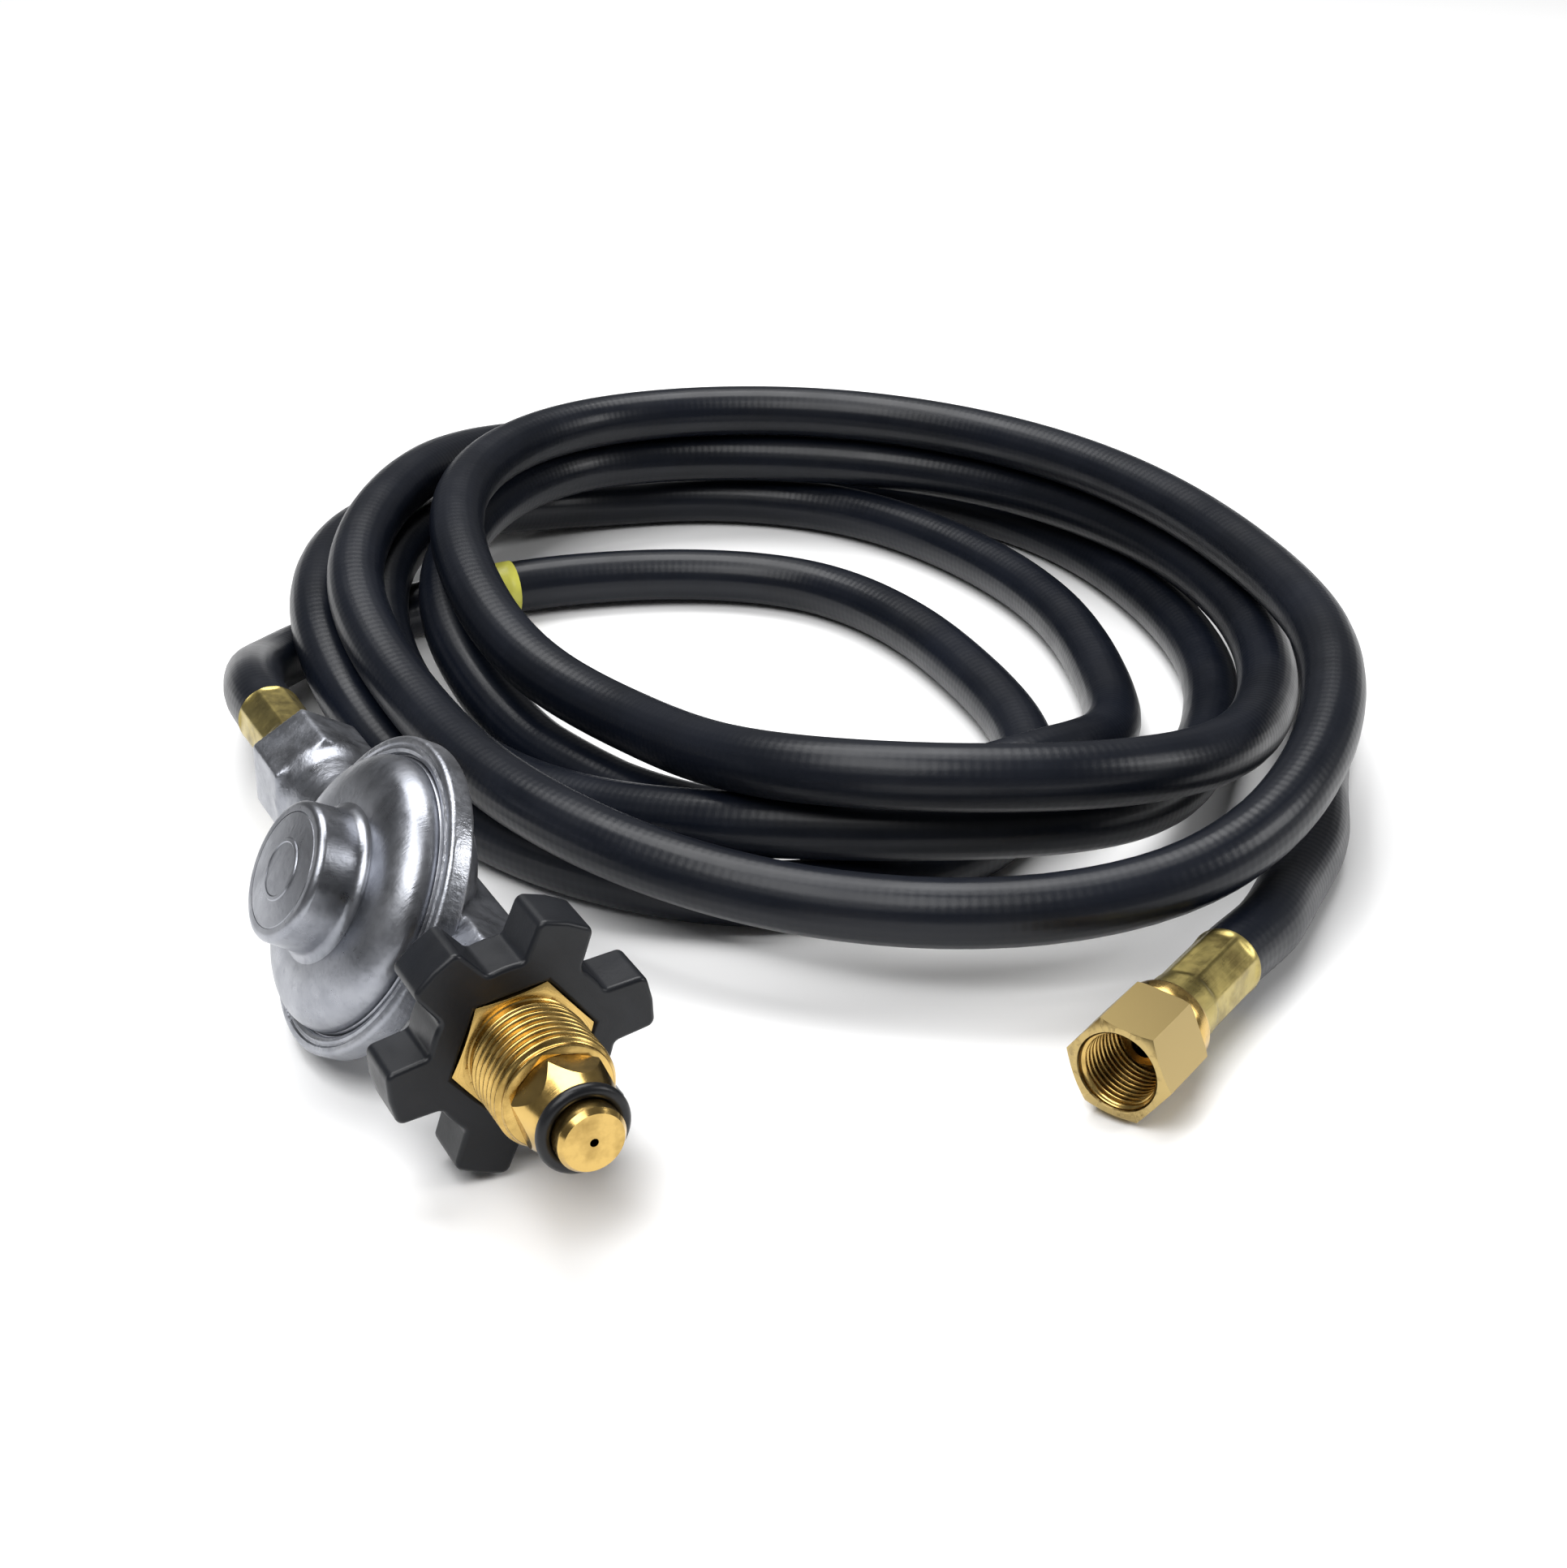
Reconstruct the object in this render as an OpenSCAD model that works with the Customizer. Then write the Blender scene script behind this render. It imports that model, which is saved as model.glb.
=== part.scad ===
/* [Hose] */
// Outer diameter of the hose
hose_od = 14.3; // [12:0.1:18]
// Inner diameter of the hose
hose_id = 7.9; // [6:0.1:9]
// Length of each crimped ferrule
ferrule_l = 27; // [18:1:30]
// Outer diameter of each crimped ferrule
ferrule_od = 15; // [14.8:0.1:20]

/* [Regulator] */
// Diameter of the body's rim
rim_d = 64; // [58:1:80]
// Height of the dome above the rim
dome_h = 8.5; // [6:0.5:12]
// Diameter of the spring tower
tower_d = 28; // [26:1:34]
// Height of the spring tower above the dome
tower_h = 9.5; // [8:0.5:16]
// Wall of the cover and of the tower
cover_wall = 2; // [1.5:0.1:3]
// Width across flats of the inlet and outlet bosses
boss_af = 23; // [21:0.5:28]
// Length of the outlet boss, from the middle of the body
outlet_l = 74; // [60:1:90]
// Length of the inlet boss, from the middle of the body
inlet_l = 43.5; // [40:0.5:60]
// Tilt of the cover's face above the level
tilt = 31; // [25:1:45]

/* [Cylinder connection] */
// Outer diameter of the inlet nut's thread
pol_d = 22.5; // [20:0.1:26]
// Length of the inlet nut's thread
pol_l = 16; // [12:0.5:22]
// Width across flats of the inlet nut
pol_af = 23.8; // [22:0.1:28]
// Diameter of the nipple's shaft
nipple_d = 10; // [8:0.5:12]
// Outer diameter of the handwheel over its lobes
wheel_d = 51; // [44:1:70]
// Thickness of the handwheel
wheel_t = 12; // [9:0.5:16]
// Number of lobes on the handwheel
lobes = 6; // [5:1:8]
// Width of each lobe
lobe_w = 11.5; // [8:0.5:13]

/* [Appliance connection] */
// Width across flats of the flare nut
flare_af = 19.05; // [18:0.05:24]
// Length of the flare nut
flare_l = 21; // [17:0.5:26]
// Diameter of the flare nut's threaded hole
flare_hole_d = 14.4; // [13:0.1:16]

/* [Hidden] */
$fn = 64;

// Colours
zinc = "#b4b7bd";
brass = "#c9a24e";
dark_brass = "#a8935a";
rubber = "#22242a";
plastic = "#1c1d20";
steel = "#9a9da2";

// Clearances
run_gap = 0.05;   // radial gap of a turning or sliding fit
free_gap = 0.3;   // gap between faces that move past each other

// The middle of the regulator, on the axis through its inlet and outlet
mid_x = 3.5;
mid_y = -6.5;
axis_h = 25.5;

// Heights along the cover's normal, from the inlet and outlet axis
seat_z = 9.5;                  // the diaphragm's edge rests here
diaphragm_t = 0.8;
flange_z = seat_z + diaphragm_t;
flange_t = 1.7;
lip_z = flange_z + flange_t;
lip_t = 1;
dome_z = lip_z + dome_h;
tower_z = dome_z + tower_h;
chamber_floor = -9;
body_floor = -12;
rim_r = rim_d / 2;
seat_r = rim_r - 2.2;
dome_r = seat_r - 1.8;
chamber_r = rim_r - 10.5;
tower_r = tower_d / 2;
bore_r = tower_r - cover_wall;
passage_r = 3.5;

// Valve train
pin_y = -9;
pin_z = -5.5;
pin_r = 1;
pin_l = 12;
holder_r = 3.5;
holder_front = -22;
holder_back = -5;
pad_t = 2.5;
valve_gap = 1;
orifice_t = 4;
orifice_back = holder_front - pad_t - valve_gap;
guide_r = holder_r + 2;
lever_t = 2;
lever_w = 3;
notch_gap = 0.8;    // room for the lever to swing in the valve holder
notch_l = 5;
notch_top = 1.8;
post_r = 2.5;
plate_t = 1;
plate_r = 17;
screw_t = 4;
spring_r = 9;
wire_r = 0.9;

// Cylinder connection, along the axis from the middle of the regulator
nut_back = -(inlet_l + 1.5);
wheel_back = nut_back + 0.5;
nut_face = wheel_back - wheel_t - 0.5;
nut_front = nut_face - pol_l;
nose_base = nut_front - free_gap;
nose_hex_l = 8.7;
groove_l = 2.6;
tip_l = 3.5;
nose_r = 8.6;
nose_af = 17;
nose_turn = 14;
nose_chamfer = 1.4;
nose_taper = 0.9;   // the nose narrows this much at its front
nose_swell = 1.4;   // and is this much wider at its back
groove_r = 6.2;
tip_r = 6.3;
o_ring_r = 1.5;
nipple_r = nipple_d / 2;
nipple_bore_r = 2.5;
nipple_back = -30;
filter_l = 6;
wheel_hub_r = 17.8;
wheel_turn = -8;
wheel_round = 1.5;

// Hose ends, along each end's own axis
stem_r = hose_id / 2 + 0.25;   // the barb stretches the hose
stem_bore_r = 2.6;
ferrule_in_r = 6.7;
hose_end_s = outlet_l + ferrule_l;
outlet_thread_l = 15;
outlet_hex_l = 18;
outlet_thread_r = 5;
tail_gap = 1;

// Flare end: where the hose meets the far ferrule, and the way the nut's mouth points
far_point = [148.5, -75, 11];
far_heading = 209;
nut_start = ferrule_l + free_gap;
collar_l = 4.5;
collar_r = flare_af / 2 - 0.2;
flare_wall = 3.6;
flare_turn = 24;
relief_l = 7;      // plain stretch inside the nut, round the stem's seat
relief_gap = 0.3;
mouth_l = 1.2;
neck_r = 5.6;
shoulder_r = flare_hole_d / 2 - free_gap;
shoulder_l = 3;

// Route of the hose: first the stretch from the regulator, then the turns of the loose
// coil as [distance from the coil's middle, height] every 30 degrees, then the far end
coil_mid = [141.5, 97];
coil_turn = 63;
route_step = 30;
lead = [[4, 107, 25], [7, 121, 22.5], [11.5, 136, 18], [18, 150, 13], [28, 163, 9.5],
  [43, 173, 8], [63, 180, 7.7], [86.5, 184, 7.7], [113.5, 182, 7.7]];
turns = [
  [[61, 7.2], [46, 7.2], [40, 7.2], [43, 7.2], [60, 7.2],
   [94, 7.2], [115, 7.2], [113, 7.2], [110, 8.5], [122, 20.6], [139, 21.5], [155, 8.4]],
  [[145, 7.2], [129, 7.2], [110, 7.2], [104, 7.2], [108, 10],
   [123, 21], [111, 21.2], [96, 11.5], [95, 9], [106, 18.5], [122, 22.2], [139, 9]],
  [[126, 7.2], [97, 7.2], [80, 7.2], [76, 7.2], [85, 11],
   [96, 21.6], [93, 13], [80, 7.4], [77, 8], [88, 18], [106, 24], [130, 23]],
  [[125, 22], [118, 21.6], [112, 21.6], [113, 21.6], [122, 24],
   [132, 35.5], [115, 36.6], [77, 24.5], [74, 26], [83, 33], [104, 38.5], [126, 37.5]],
  [[125, 36.5], [116, 36], [110, 36], [116, 36], [138, 36],
   [159, 25], [143, 21], [118, 22], [104, 22.3], [112, 32], [123, 37.2], [151, 24.6]],
  [[160, 15.5], [148, 7.6], [137, 7.2], [132, 7.2], [137, 7.2]]];
tail = [[201.5, -36, 7.2], [179.5, -54.5, 8.5], [164.5, -66.5, 10.3]];
ring_sides = 10;
tag_l = 11;
tag_from = 0.5;
tag_t = 0.4;
tag_gap = 0.05;

hose_start = [mid_x, mid_y + hose_end_s, axis_h];
rows = [for (turn = turns) for (p = turn) p];
function coil_point(i) =
  let (a = coil_turn - route_step * i, p = rows[i])
  [coil_mid[0] + p[0] * cos(a), coil_mid[1] + p[0] * sin(a), p[1]];
coil = [for (i = [0 : len(rows) - 1]) coil_point(i)];
route = concat([hose_start], lead, coil, tail, [far_point]);

// Sweep helpers
function unit(v) = v / norm(v);
function tangent(path, first, last, i) =
  i == 0 ? first : i == len(path) - 1 ? last
  : unit(unit(path[i] - path[i - 1]) + unit(path[i + 1] - path[i]));
function ring(p, t, r, n) =
  let (side = unit(cross(t, [0, 0, 1])), up = cross(side, t))
  [for (k = [0 : n - 1]) p + r * (cos(360 * k / n) * side + sin(360 * k / n) * up)];
function tube_faces(m, n) = concat(
  [[for (k = [0 : n - 1]) k]],
  [for (i = [0 : m - 2]) for (k = [0 : n - 1])
    [i * n + k, (i + 1) * n + k, (i + 1) * n + (k + 1) % n, i * n + (k + 1) % n]],
  [[for (k = [n - 1 : -1 : 0]) (m - 1) * n + k]]);

module tube(path, first, last, r, n) {
  points = [for (i = [0 : len(path) - 1]) each ring(path[i], tangent(path, first, last, i), r, n)];
  polyhedron(points, tube_faces(len(path), n));
}

// Places a child whose Z axis lies along the regulator's axis, starting s from its middle
module along(s) {
  translate([mid_x, mid_y + s, axis_h]) rotate([-90, 0, 0]) children();
}

// Places a child whose Z axis is the cover's normal and whose Y axis is the regulator's axis
module on_disc() {
  translate([mid_x, mid_y, axis_h]) rotate([0, tilt - 90, 0]) children();
}

// Places a child whose Z axis lies along the far end's axis, starting s from the hose
module at_far(s) {
  translate(far_point) rotate([0, 0, far_heading]) translate([s, 0, 0]) rotate([0, 90, 0]) children();
}

module hex(af, h) {
  cylinder(h = h, d = af / cos(30), $fn = 6);
}

module washer(r, hole_r, h) {
  difference() {
    cylinder(h = h, r = r);
    translate([0, 0, -1]) cylinder(h = h + 2, r = hole_r);
  }
}

// A bore along the regulator's axis, for use inside on_disc
module y_bore(from, to, r) {
  translate([0, from, 0]) rotate([-90, 0, 0]) cylinder(h = to - from, r = r);
}

module regulator_body() {
  color(zinc) on_disc() difference() {
    union() {
      rotate_extrude() polygon([[0, body_floor], [rim_r - 12, body_floor], [rim_r - 8.5, body_floor + 3],
        [rim_r - 4, 3], [rim_r, 5], [rim_r, lip_z + lip_t], [0, lip_z + lip_t]]);
      translate([0, -inlet_l, 0]) rotate([-90, 30, 0]) hex(boss_af, inlet_l);
      translate([0, outlet_l - outlet_hex_l, 0]) rotate([-90, 30, 0]) hex(boss_af, outlet_hex_l);
      rotate([-90, 0, 0]) cylinder(h = outlet_l - 10, r = boss_af / 2 - 1.5);
    }
    translate([0, 0, seat_z]) cylinder(h = flange_t + diaphragm_t, r = seat_r);
    translate([0, 0, seat_z]) cylinder(h = 20, r = dome_r);
    difference() {
      translate([0, 0, chamber_floor]) cylinder(h = 30, r = chamber_r);
      translate([0, holder_front - pad_t - valve_gap - orifice_t - 4, 0]) rotate([-90, 0, 0])
        cylinder(h = 18 + orifice_t, r = guide_r);
      for (side = [-1, 1])
        translate([side * 5 - 1, pin_y - 2.5, chamber_floor - 0.5]) cube([2, 5, pin_z - chamber_floor + 3]);
    }
    y_bore(-inlet_l - 1, nipple_back, nipple_r);
    y_bore(nipple_back - 1, orifice_back - orifice_t, nipple_r - 1.5);
    y_bore(orifice_back - orifice_t, 0, holder_r + run_gap);
    y_bore(chamber_r - 2, outlet_l - outlet_thread_l, passage_r);
    y_bore(outlet_l - outlet_thread_l, outlet_l + 1, outlet_thread_r);
    translate([-8, pin_y, pin_z]) rotate([0, 90, 0]) cylinder(h = 16, r = pin_r);
    translate([-2, pin_y - 2, -guide_r - 1]) cube([4, 4, guide_r + 1]);
  }
}

module regulator_cover() {
  color(zinc) on_disc() difference() {
    rotate_extrude() polygon(concat(
      [[bore_r - 0.5, tower_z], [tower_r - 1.6, tower_z], [tower_r - 0.6, tower_z - 0.5],
       [tower_r, tower_z - 1.6], [tower_r + 0.6, dome_z + 1.6], [tower_r + 1.8, dome_z]],
      [for (a = [80 : -10 : 0])
        [tower_r + 1.8 + (dome_r - tower_r - 1.8) * sin(90 - a * 1.0),
         lip_z + lip_t + (dome_h - lip_t) * sin(a)]],
      [[dome_r, lip_z], [seat_r, lip_z], [seat_r, flange_z], [dome_r - 2.5, flange_z],
       [dome_r - cover_wall - 0.6, lip_z]],
      [for (a = [0 : 10 : 80])
        [bore_r + 1.5 + (dome_r - cover_wall - bore_r - 2) * sin(90 - a),
         lip_z + (dome_h - cover_wall) * sin(a)]],
      [[bore_r, dome_z - cover_wall + 0.5], [bore_r, tower_z - 2], [bore_r - 0.5, tower_z - 2]]));
    translate([-tower_r - 3, 0, dome_z + 3.2]) rotate([0, 90, 0]) cylinder(h = 8, r = 1.6);
  }
}

module tower_cap() {
  color(zinc) on_disc() translate([0, 0, tower_z - 2]) rotate_extrude()
    polygon([[0, 0], [bore_r - 0.5, 0], [bore_r - 0.5, 2.3], [bore_r - 1.2, 2.8], [0, 3.2]]);
}

module adjusting_screw() {
  color(steel) on_disc() translate([0, 0, tower_z - 2 - screw_t - 0.5]) difference() {
    cylinder(h = screw_t, r = bore_r - run_gap);
    translate([0, 0, 1.5]) cylinder(h = screw_t, d = 8, $fn = 6);
  }
}

module main_spring() {
  bottom = flange_z + plate_t + wire_r;
  top = tower_z - 2.5 - screw_t - wire_r;
  coils = 4.5;
  steps = 54;
  path = [for (i = [0 : steps])
    [spring_r * cos(360 * coils * i / steps), spring_r * sin(360 * coils * i / steps),
     bottom + (top - bottom) * i / steps]];
  color(steel) on_disc() tube(path, unit([0, 1, 0.05]), unit([0, -1, 0.05]), wire_r, 6);
}

module diaphragm() {
  color(rubber) on_disc() rotate_extrude()
    polygon([[post_r, seat_z], [plate_r + 1, seat_z], [plate_r + 2, seat_z + 1.4], [dome_r - 5, seat_z + 1.4],
      [dome_r - 4, seat_z], [seat_r, seat_z], [seat_r, flange_z], [dome_r - 3.6, flange_z],
      [dome_r - 4.6, flange_z + 1.4], [plate_r + 1.6, flange_z + 1.4], [plate_r + 0.6, flange_z],
      [post_r, flange_z]]);
}

module diaphragm_plate() {
  color(steel) on_disc() translate([0, 0, flange_z]) difference() {
    union() {
      cylinder(h = plate_t, r = plate_r);
      cylinder(h = 3, r = spring_r - wire_r - 0.4);
    }
    translate([0, 0, -1]) cylinder(h = 6, r = post_r);
  }
}

module diaphragm_post() {
  color(brass) on_disc() difference() {
    union() {
      translate([0, 0, pin_z - 2.6]) cylinder(h = flange_z + 4.5 - pin_z + 2.6, r = post_r);
      translate([0, 0, flange_z + 3]) cylinder(h = 1.5, r = post_r + 1.6);
      translate([0, 0, seat_z - 1]) cylinder(h = 1, r = post_r + 2.5);
    }
    translate([-lever_w / 2 - free_gap, -4, pin_z - 1.6]) cube([lever_w + 2 * free_gap, 8, 3.2]);
  }
}

module lever() {
  color(steel) on_disc() difference() {
    union() {
      translate([-lever_w / 2, pin_y, pin_z - lever_t / 2]) cube([lever_w, 2.2 - pin_y, lever_t]);
      translate([-lever_w / 2, pin_y - lever_t / 2, pin_z]) cube([lever_w, lever_t, 1 - pin_z]);
      translate([-lever_w / 2, pin_y, pin_z]) rotate([0, 90, 0]) cylinder(h = lever_w, r = 2.2);
    }
    translate([-lever_w, pin_y, pin_z]) rotate([0, 90, 0]) cylinder(h = 2 * lever_w, r = pin_r + run_gap);
  }
}

module lever_pin() {
  color(steel) on_disc() translate([-pin_l / 2, pin_y, pin_z]) rotate([0, 90, 0])
    cylinder(h = pin_l, r = pin_r);
}

module valve_holder() {
  color(brass) on_disc() difference() {
    y_bore(holder_front, holder_back, holder_r);
    translate([-lever_w / 2 - notch_gap, pin_y - lever_t / 2 - notch_gap, -notch_l])
      cube([lever_w + 2 * notch_gap, lever_t + 2 * notch_gap, notch_l + notch_top]);
  }
}

module seat_pad() {
  color(rubber) on_disc() y_bore(holder_front - pad_t, holder_front, holder_r - 0.4);
}

module inlet_orifice() {
  color(brass) on_disc() difference() {
    y_bore(orifice_back - orifice_t, orifice_back, holder_r);
    y_bore(orifice_back - orifice_t - 1, orifice_back + 1, 1.2);
  }
}

module inlet_filter() {
  color(steel) along(nipple_back - 12) difference() {
    cylinder(h = filter_l, r = nipple_bore_r);
    translate([0, 0, -1]) cylinder(h = filter_l, r = nipple_bore_r - 0.8);
  }
}

module vent_screen() {
  color(steel) on_disc() translate([-tower_r + 0.4, 0, dome_z + 3.2]) rotate([0, 90, 0])
    cylinder(h = 0.6, r = 1.6);
}

module pol_nipple() {
  nose_l = nose_hex_l + groove_l + tip_l;
  color(brass) along(nose_base) difference() {
    union() {
      translate([0, 0, -1]) cylinder(h = nipple_back - nose_base + 1, r = nipple_r);
      intersection() {
        union() {
          translate([0, 0, -nose_hex_l])
            cylinder(h = nose_hex_l - nose_chamfer, r1 = nose_r - nose_taper,
              r2 = nose_r + nose_swell);
          translate([0, 0, -nose_chamfer]) cylinder(h = nose_chamfer, r1 = nose_r + nose_swell, r2 = nose_r);
        }
        translate([0, 0, -nose_hex_l]) rotate(nose_turn) hex(nose_af, nose_hex_l);
      }
      translate([0, 0, -nose_l + 1]) cylinder(h = nose_l - 2, r = groove_r);
      translate([0, 0, -nose_l]) cylinder(h = 1, r1 = tip_r - 0.7, r2 = tip_r);
      translate([0, 0, 1 - nose_l]) cylinder(h = tip_l - 1, r = tip_r);
    }
    translate([0, 0, 3 - nose_l]) cylinder(h = 200, r = nipple_bore_r);
    translate([0, 0, -nose_l - 1]) cylinder(h = 8, r = 0.8);
  }
}

module nose_o_ring() {
  groove_mid = nose_base - nose_hex_l - groove_l / 2;
  color(rubber) along(groove_mid) rotate_extrude() translate([groove_r + o_ring_r - 0.3, 0])
    intersection() {
      circle(r = o_ring_r - 0.2, $fn = 24);
      translate([0.3 - o_ring_r, -2]) square([4, 4]);
    }
}

module pol_nut() {
  color(brass) along(nut_front) difference() {
    union() {
      translate([0, 0, 1]) cylinder(h = pol_l, r = pol_d / 2);
      cylinder(h = 1.01, r1 = pol_d / 2 - 1, r2 = pol_d / 2);
      translate([0, 0, pol_l]) rotate(wheel_turn) hex(pol_af, nut_back - nut_face);
    }
    translate([0, 0, -1]) cylinder(h = 60, r = nipple_r + run_gap);
  }
}

module handwheel() {
  color(plastic) along(wheel_back - wheel_t) rotate(wheel_turn) difference() {
    linear_extrude(wheel_t) offset(r = -wheel_round, $fn = 24) offset(delta = wheel_round)
      offset(r = wheel_round, $fn = 24) offset(delta = -wheel_round) union() {
        circle(r = wheel_hub_r, $fn = 72);
        for (i = [0 : lobes - 1])
          rotate(360 * i / lobes) translate([0, -lobe_w / 2]) square([wheel_d / 2, lobe_w]);
      }
    translate([0, 0, -1]) hex(pol_af, wheel_t + 2);
  }
}

module outlet_stem() {
  color(brass) along(outlet_l - outlet_thread_l) difference() {
    union() {
      cylinder(h = outlet_thread_l, r = outlet_thread_r);
      cylinder(h = outlet_thread_l + ferrule_l - 3, r = stem_r);
    }
    translate([0, 0, -1]) cylinder(h = 80, r = stem_bore_r);
  }
}

module ferrule() {
  difference() {
    cylinder(h = ferrule_l, r = ferrule_od / 2);
    translate([0, 0, -1]) cylinder(h = ferrule_l + 2, r = ferrule_in_r);
  }
}

module regulator_ferrule() {
  color(dark_brass) along(outlet_l) ferrule();
}

module hose_tails() {
  color(rubber) {
    along(outlet_l + tail_gap) washer(ferrule_in_r, stem_r, ferrule_l - tail_gap);
    at_far(0) washer(ferrule_in_r, stem_r, ferrule_l - tail_gap);
  }
}

module hose() {
  far_way = [cos(far_heading), sin(far_heading), 0];
  color(rubber) tube(route, [0, 1, 0], far_way, hose_od / 2, ring_sides);
}

module hose_tag() {
  a = lead[7];
  b = lead[8];
  way = unit(b - a);
  color("#d8d46a") translate(a + way * tag_from) rotate([0, 90, atan2(way[1], way[0])])
    washer(hose_od / 2 + tag_gap + tag_t, hose_od / 2 + tag_gap, tag_l);
}

module far_ferrule() {
  color(dark_brass) at_far(0) ferrule();
}

module flare_stem() {
  neck_l = free_gap + flare_wall + free_gap;
  color(brass) at_far(0) difference() {
    union() {
      translate([0, 0, 3]) cylinder(h = ferrule_l + neck_l, r = stem_r);
      translate([0, 0, ferrule_l]) cylinder(h = neck_l, r = neck_r);
      translate([0, 0, ferrule_l + neck_l]) cylinder(h = shoulder_l, r = shoulder_r);
      translate([0, 0, ferrule_l + neck_l + shoulder_l]) cylinder(h = 3, r1 = shoulder_r, r2 = stem_r);
    }
    translate([0, 0, -1]) cylinder(h = 60, r = stem_bore_r);
  }
}

module flare_nut() {
  color(brass) at_far(nut_start) difference() {
    union() {
      cylinder(h = collar_l, r = collar_r);
      translate([0, 0, collar_l]) rotate(flare_turn) hex(flare_af, flare_l - collar_l);
    }
    translate([0, 0, -1]) cylinder(h = 10, r = neck_r + run_gap);
    translate([0, 0, flare_wall]) cylinder(h = relief_l, r = flare_hole_d / 2 + relief_gap);
    translate([0, 0, flare_wall]) cylinder(h = flare_l, r = flare_hole_d / 2);
    translate([0, 0, flare_l - mouth_l])
      cylinder(h = mouth_l + 0.01, r1 = flare_hole_d / 2, r2 = flare_hole_d / 2 + mouth_l);
  }
}

regulator_body();
regulator_cover();
tower_cap();
adjusting_screw();
main_spring();
diaphragm();
diaphragm_plate();
diaphragm_post();
lever();
lever_pin();
valve_holder();
seat_pad();
inlet_orifice();
inlet_filter();
vent_screen();
pol_nipple();
nose_o_ring();
pol_nut();
handwheel();
outlet_stem();
regulator_ferrule();
hose_tails();
hose();
hose_tag();
far_ferrule();
flare_stem();
flare_nut();
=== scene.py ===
import math

import bmesh
import bpy
import numpy as np
from mathutils import Matrix, Vector


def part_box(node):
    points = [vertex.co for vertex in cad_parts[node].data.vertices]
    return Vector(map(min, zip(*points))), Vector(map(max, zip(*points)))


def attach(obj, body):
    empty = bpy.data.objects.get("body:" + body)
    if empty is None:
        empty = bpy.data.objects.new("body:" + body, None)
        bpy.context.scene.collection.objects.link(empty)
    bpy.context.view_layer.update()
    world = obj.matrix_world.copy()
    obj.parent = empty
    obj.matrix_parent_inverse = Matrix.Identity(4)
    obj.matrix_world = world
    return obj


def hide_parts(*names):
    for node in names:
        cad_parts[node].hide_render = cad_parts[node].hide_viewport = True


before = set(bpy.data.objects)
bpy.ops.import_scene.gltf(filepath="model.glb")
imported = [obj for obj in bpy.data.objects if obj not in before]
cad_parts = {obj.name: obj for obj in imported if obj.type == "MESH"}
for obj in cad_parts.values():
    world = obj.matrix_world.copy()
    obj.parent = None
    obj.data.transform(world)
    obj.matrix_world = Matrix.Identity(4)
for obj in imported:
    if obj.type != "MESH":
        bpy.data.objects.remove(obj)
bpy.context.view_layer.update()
MM = 0.001
INCH = 25.4

# Sizes in millimetres, as in part.scad
MID_X, MID_Y, AXIS_H = 3.5, -6.5, 25.5
TILT = 31
FAR_POINT = (148.5, -75, 11)
FAR_HEADING = 209
HOSE_R = 7.15
FERRULE_R, FERRULE_L = 7.5, 27
HOSE_END_S = 101
OUTLET_L = 74
COIL_MID = (141.5, 97)
COIL_TURN = 63
LEAD = [(4, 107, 25), (7, 121, 22.5), (11.5, 136, 18), (18, 150, 13), (28, 163, 9.5),
        (43, 173, 8), (63, 180, 7.7), (86.5, 184, 7.7), (113.5, 182, 7.7)]
TURNS = [
    (61, 7.2), (46, 7.2), (40, 7.2), (43, 7.2), (60, 7.2),
    (94, 7.2), (115, 7.2), (113, 7.2), (110, 8.5), (122, 20.6), (139, 21.5), (155, 8.4),
    (145, 7.2), (129, 7.2), (110, 7.2), (104, 7.2), (108, 10),
    (123, 21), (111, 21.2), (96, 11.5), (95, 9), (106, 18.5), (122, 22.2), (139, 9),
    (126, 7.2), (97, 7.2), (80, 7.2), (76, 7.2), (85, 11),
    (96, 21.6), (93, 13), (80, 7.4), (77, 8), (88, 18), (106, 24), (130, 23),
    (125, 22), (118, 21.6), (112, 21.6), (113, 21.6), (122, 24),
    (132, 35.5), (115, 36.6), (77, 24.5), (74, 26), (83, 33), (104, 38.5), (126, 37.5),
    (125, 36.5), (116, 36), (110, 36), (116, 36), (138, 36),
    (159, 25), (143, 21), (118, 22), (104, 22.3), (112, 32), (123, 37.2), (151, 24.6),
    (160, 15.5), (148, 7.6), (137, 7.2), (132, 7.2), (137, 7.2)]
TAIL = [(201.5, -36, 7.2), (179.5, -54.5, 8.5), (164.5, -66.5, 10.3)]


# ---- places: each gives the matrix that takes local millimetres to the row frame in metres

def at_axis(s):
    turn = Matrix.Rotation(math.radians(-90), 4, "X")
    return Matrix.Scale(MM, 4) @ Matrix.Translation((MID_X, MID_Y + s, AXIS_H)) @ turn


def on_disc():
    turn = Matrix.Rotation(math.radians(TILT - 90), 4, "Y")
    return Matrix.Scale(MM, 4) @ Matrix.Translation((MID_X, MID_Y, AXIS_H)) @ turn


def at_far(s):
    turn = Matrix.Rotation(math.radians(FAR_HEADING), 4, "Z")
    return (Matrix.Scale(MM, 4) @ Matrix.Translation(FAR_POINT) @ turn
            @ Matrix.Translation((s, 0, 0)) @ Matrix.Rotation(math.radians(90), 4, "Y"))


# ---- mesh helpers

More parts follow.
